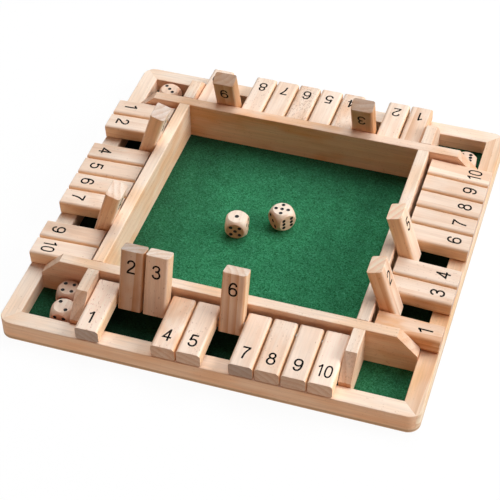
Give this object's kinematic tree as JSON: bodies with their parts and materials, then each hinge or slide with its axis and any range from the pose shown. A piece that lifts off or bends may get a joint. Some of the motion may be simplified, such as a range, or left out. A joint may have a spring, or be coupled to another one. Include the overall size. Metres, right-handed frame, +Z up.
{
  "type": "shut the box game",
  "caption": "Square four-player shut the box game: wooden tray with hinged number tiles along each side, felt floor, corner wells and wooden dice.",
  "frame": {"origin": "middle of the board's underside", "axes": "+Z up, front player towards -Y, +X to that player's right"},
  "size_m": [0.3, 0.3, 0.063],
  "materials": {
    "pine": "planed and sanded, clear matt",
    "beech": "sanded, clear matt",
    "die_beech": "tumbled smooth, clear matt",
    "plywood": "sawn edge, raw",
    "felt": "short-napped felt",
    "steel": "drawn wire",
    "ink": "matt printing ink"
  },
  "bodies": {
    "root": {"base_board": "plywood", "felt_lining": "felt", "front_rail": "pine", "right_rail": "pine", "back_rail": "pine", "left_rail": "pine", "front_wall": "pine", "right_wall": "pine", "back_wall": "pine", "left_wall": "pine", "front_dividers": "pine", "back_dividers": "pine", "long_row_rods": "steel", "side_row_rods": "steel"},
    "front_tile_1": {"front_tile_1": "beech"},
    "front_tile_2": {"front_tile_2": "beech"},
    "front_tile_3": {"front_tile_3": "beech"},
    "front_tile_4": {"front_tile_4": "beech"},
    "front_tile_5": {"front_tile_5": "beech"},
    "front_tile_6": {"front_tile_6": "beech"},
    "front_tile_7": {"front_tile_7": "beech"},
    "front_tile_8": {"front_tile_8": "beech"},
    "front_tile_9": {"front_tile_9": "beech"},
    "front_tile_10": {"front_tile_10": "beech"},
    "right_tile_1": {"right_tile_1": "beech"},
    "right_tile_2": {"right_tile_2": "beech"},
    "right_tile_3": {"right_tile_3": "beech"},
    "right_tile_4": {"right_tile_4": "beech"},
    "right_tile_5": {"right_tile_5": "beech"},
    "right_tile_6": {"right_tile_6": "beech"},
    "right_tile_7": {"right_tile_7": "beech"},
    "right_tile_8": {"right_tile_8": "beech"},
    "right_tile_9": {"right_tile_9": "beech"},
    "right_tile_10": {"right_tile_10": "beech"},
    "back_tile_1": {"back_tile_1": "beech"},
    "back_tile_2": {"back_tile_2": "beech"},
    "back_tile_3": {"back_tile_3": "beech"},
    "back_tile_4": {"back_tile_4": "beech"},
    "back_tile_5": {"back_tile_5": "beech"},
    "back_tile_6": {"back_tile_6": "beech"},
    "back_tile_7": {"back_tile_7": "beech"},
    "back_tile_8": {"back_tile_8": "beech"},
    "back_tile_9": {"back_tile_9": "beech"},
    "back_tile_10": {"back_tile_10": "beech"},
    "left_tile_1": {"left_tile_1": "beech"},
    "left_tile_2": {"left_tile_2": "beech"},
    "left_tile_3": {"left_tile_3": "beech"},
    "left_tile_4": {"left_tile_4": "beech"},
    "left_tile_5": {"left_tile_5": "beech"},
    "left_tile_6": {"left_tile_6": "beech"},
    "left_tile_7": {"left_tile_7": "beech"},
    "left_tile_8": {"left_tile_8": "beech"},
    "left_tile_9": {"left_tile_9": "beech"},
    "left_tile_10": {"left_tile_10": "beech"},
    "die_1": {"die_1": "die_beech"},
    "die_2": {"die_2": "die_beech"},
    "die_3": {"die_3": "die_beech"},
    "die_4": {"die_4": "die_beech"},
    "die_5": {"die_5": "die_beech"},
    "die_6": {"die_6": "die_beech"}
  },
  "joints": [
    {"name": "front_tile_1_hinge", "type": "hinge", "parent": "root", "child": "front_tile_1", "pos_m": [-0.08257, -0.10975, 0.0233], "axis": [-1, 0, 0], "range_deg": [0, 110.11]},
    {"name": "front_tile_2_hinge", "type": "hinge", "parent": "root", "child": "front_tile_2", "pos_m": [-0.06423, -0.10975, 0.0233], "axis": [-1, 0, 0], "range_deg": [-110.11, 0]},
    {"name": "front_tile_3_hinge", "type": "hinge", "parent": "root", "child": "front_tile_3", "pos_m": [-0.04587, -0.10975, 0.0233], "axis": [-1, 0, 0], "range_deg": [-110.11, 0]},
    {"name": "front_tile_4_hinge", "type": "hinge", "parent": "root", "child": "front_tile_4", "pos_m": [-0.02753, -0.10975, 0.0233], "axis": [-1, 0, 0], "range_deg": [0, 110.11]},
    {"name": "front_tile_5_hinge", "type": "hinge", "parent": "root", "child": "front_tile_5", "pos_m": [-0.00918, -0.10975, 0.0233], "axis": [-1, 0, 0], "range_deg": [0, 110.11]},
    {"name": "front_tile_6_hinge", "type": "hinge", "parent": "root", "child": "front_tile_6", "pos_m": [0.00918, -0.10975, 0.0233], "axis": [-1, 0, 0], "range_deg": [-110.11, 0]},
    {"name": "front_tile_7_hinge", "type": "hinge", "parent": "root", "child": "front_tile_7", "pos_m": [0.02753, -0.10975, 0.0233], "axis": [-1, 0, 0], "range_deg": [0, 110.11]},
    {"name": "front_tile_8_hinge", "type": "hinge", "parent": "root", "child": "front_tile_8", "pos_m": [0.04587, -0.10975, 0.0233], "axis": [-1, 0, 0], "range_deg": [0, 110.11]},
    {"name": "front_tile_9_hinge", "type": "hinge", "parent": "root", "child": "front_tile_9", "pos_m": [0.06423, -0.10975, 0.0233], "axis": [-1, 0, 0], "range_deg": [0, 110.11]},
    {"name": "front_tile_10_hinge", "type": "hinge", "parent": "root", "child": "front_tile_10", "pos_m": [0.08257, -0.10975, 0.0233], "axis": [-1, 0, 0], "range_deg": [0, 110.11]},
    {"name": "right_tile_1_hinge", "type": "hinge", "parent": "root", "child": "right_tile_1", "pos_m": [0.10975, -0.08257, 0.0233], "axis": [0, -1, 0], "range_deg": [0, 110.11]},
    {"name": "right_tile_2_hinge", "type": "hinge", "parent": "root", "child": "right_tile_2", "pos_m": [0.10975, -0.06423, 0.0233], "axis": [0, -1, 0], "range_deg": [-110.11, 0]},
    {"name": "right_tile_3_hinge", "type": "hinge", "parent": "root", "child": "right_tile_3", "pos_m": [0.10975, -0.04587, 0.0233], "axis": [0, -1, 0], "range_deg": [0, 110.11]},
    {"name": "right_tile_4_hinge", "type": "hinge", "parent": "root", "child": "right_tile_4", "pos_m": [0.10975, -0.02753, 0.0233], "axis": [0, -1, 0], "range_deg": [0, 110.11]},
    {"name": "right_tile_5_hinge", "type": "hinge", "parent": "root", "child": "right_tile_5", "pos_m": [0.10975, -0.00918, 0.0233], "axis": [0, -1, 0], "range_deg": [-110.11, 0]},
    {"name": "right_tile_6_hinge", "type": "hinge", "parent": "root", "child": "right_tile_6", "pos_m": [0.10975, 0.00918, 0.0233], "axis": [0, -1, 0], "range_deg": [0, 110.11]},
    {"name": "right_tile_7_hinge", "type": "hinge", "parent": "root", "child": "right_tile_7", "pos_m": [0.10975, 0.02753, 0.0233], "axis": [0, -1, 0], "range_deg": [0, 110.11]},
    {"name": "right_tile_8_hinge", "type": "hinge", "parent": "root", "child": "right_tile_8", "pos_m": [0.10975, 0.04587, 0.0233], "axis": [0, -1, 0], "range_deg": [0, 110.11]},
    {"name": "right_tile_9_hinge", "type": "hinge", "parent": "root", "child": "right_tile_9", "pos_m": [0.10975, 0.06423, 0.0233], "axis": [0, -1, 0], "range_deg": [0, 110.11]},
    {"name": "right_tile_10_hinge", "type": "hinge", "parent": "root", "child": "right_tile_10", "pos_m": [0.10975, 0.08257, 0.0233], "axis": [0, -1, 0], "range_deg": [0, 110.11]},
    {"name": "back_tile_1_hinge", "type": "hinge", "parent": "root", "child": "back_tile_1", "pos_m": [0.08257, 0.10975, 0.0233], "axis": [1, 0, 0], "range_deg": [0, 110.11]},
    {"name": "back_tile_2_hinge", "type": "hinge", "parent": "root", "child": "back_tile_2", "pos_m": [0.06423, 0.10975, 0.0233], "axis": [1, 0, 0], "range_deg": [0, 110.11]},
    {"name": "back_tile_3_hinge", "type": "hinge", "parent": "root", "child": "back_tile_3", "pos_m": [0.04587, 0.10975, 0.0233], "axis": [1, 0, 0], "range_deg": [-110.11, 0]},
    {"name": "back_tile_4_hinge", "type": "hinge", "parent": "root", "child": "back_tile_4", "pos_m": [0.02753, 0.10975, 0.0233], "axis": [1, 0, 0], "range_deg": [0, 110.11]},
    {"name": "back_tile_5_hinge", "type": "hinge", "parent": "root", "child": "back_tile_5", "pos_m": [0.00918, 0.10975, 0.0233], "axis": [1, 0, 0], "range_deg": [0, 110.11]},
    {"name": "back_tile_6_hinge", "type": "hinge", "parent": "root", "child": "back_tile_6", "pos_m": [-0.00918, 0.10975, 0.0233], "axis": [1, 0, 0], "range_deg": [0, 110.11]},
    {"name": "back_tile_7_hinge", "type": "hinge", "parent": "root", "child": "back_tile_7", "pos_m": [-0.02753, 0.10975, 0.0233], "axis": [1, 0, 0], "range_deg": [0, 110.11]},
    {"name": "back_tile_8_hinge", "type": "hinge", "parent": "root", "child": "back_tile_8", "pos_m": [-0.04587, 0.10975, 0.0233], "axis": [1, 0, 0], "range_deg": [0, 110.11]},
    {"name": "back_tile_9_hinge", "type": "hinge", "parent": "root", "child": "back_tile_9", "pos_m": [-0.06423, 0.10975, 0.0233], "axis": [1, 0, 0], "range_deg": [-110.11, 0]},
    {"name": "back_tile_10_hinge", "type": "hinge", "parent": "root", "child": "back_tile_10", "pos_m": [-0.08257, 0.10975, 0.0233], "axis": [1, 0, 0], "range_deg": [0, 110.11]},
    {"name": "left_tile_1_hinge", "type": "hinge", "parent": "root", "child": "left_tile_1", "pos_m": [-0.10975, 0.08257, 0.0233], "axis": [0, 1, 0], "range_deg": [0, 110.11]},
    {"name": "left_tile_2_hinge", "type": "hinge", "parent": "root", "child": "left_tile_2", "pos_m": [-0.10975, 0.06423, 0.0233], "axis": [0, 1, 0], "range_deg": [0, 110.11]},
    {"name": "left_tile_3_hinge", "type": "hinge", "parent": "root", "child": "left_tile_3", "pos_m": [-0.10975, 0.04587, 0.0233], "axis": [0, 1, 0], "range_deg": [-110.11, 0]},
    {"name": "left_tile_4_hinge", "type": "hinge", "parent": "root", "child": "left_tile_4", "pos_m": [-0.10975, 0.02753, 0.0233], "axis": [0, 1, 0], "range_deg": [0, 110.11]},
    {"name": "left_tile_5_hinge", "type": "hinge", "parent": "root", "child": "left_tile_5", "pos_m": [-0.10975, 0.00918, 0.0233], "axis": [0, 1, 0], "range_deg": [0, 110.11]},
    {"name": "left_tile_6_hinge", "type": "hinge", "parent": "root", "child": "left_tile_6", "pos_m": [-0.10975, -0.00918, 0.0233], "axis": [0, 1, 0], "range_deg": [0, 110.11]},
    {"name": "left_tile_7_hinge", "type": "hinge", "parent": "root", "child": "left_tile_7", "pos_m": [-0.10975, -0.02753, 0.0233], "axis": [0, 1, 0], "range_deg": [0, 110.11]},
    {"name": "left_tile_8_hinge", "type": "hinge", "parent": "root", "child": "left_tile_8", "pos_m": [-0.10975, -0.04587, 0.0233], "axis": [0, 1, 0], "range_deg": [-110.11, 0]},
    {"name": "left_tile_9_hinge", "type": "hinge", "parent": "root", "child": "left_tile_9", "pos_m": [-0.10975, -0.06423, 0.0233], "axis": [0, 1, 0], "range_deg": [0, 110.11]},
    {"name": "left_tile_10_hinge", "type": "hinge", "parent": "root", "child": "left_tile_10", "pos_m": [-0.10975, -0.08257, 0.0233], "axis": [0, 1, 0], "range_deg": [0, 110.11]},
    {"name": "die_1_lift", "type": "slide", "parent": "root", "child": "die_1", "axis": [0, 0, 1], "range_m": [0, 0.05]},
    {"name": "die_2_lift", "type": "slide", "parent": "root", "child": "die_2", "axis": [0, 0, 1], "range_m": [0, 0.05]},
    {"name": "die_3_lift", "type": "slide", "parent": "root", "child": "die_3", "axis": [0, 0, 1], "range_m": [0, 0.05]},
    {"name": "die_4_lift", "type": "slide", "parent": "root", "child": "die_4", "axis": [0, 0, 1], "range_m": [0, 0.05]},
    {"name": "die_5_lift", "type": "slide", "parent": "root", "child": "die_5", "axis": [0, 0, 1], "range_m": [0, 0.05]},
    {"name": "die_6_lift", "type": "slide", "parent": "root", "child": "die_6", "axis": [0, 0, 1], "range_m": [0, 0.05]}
  ]
}
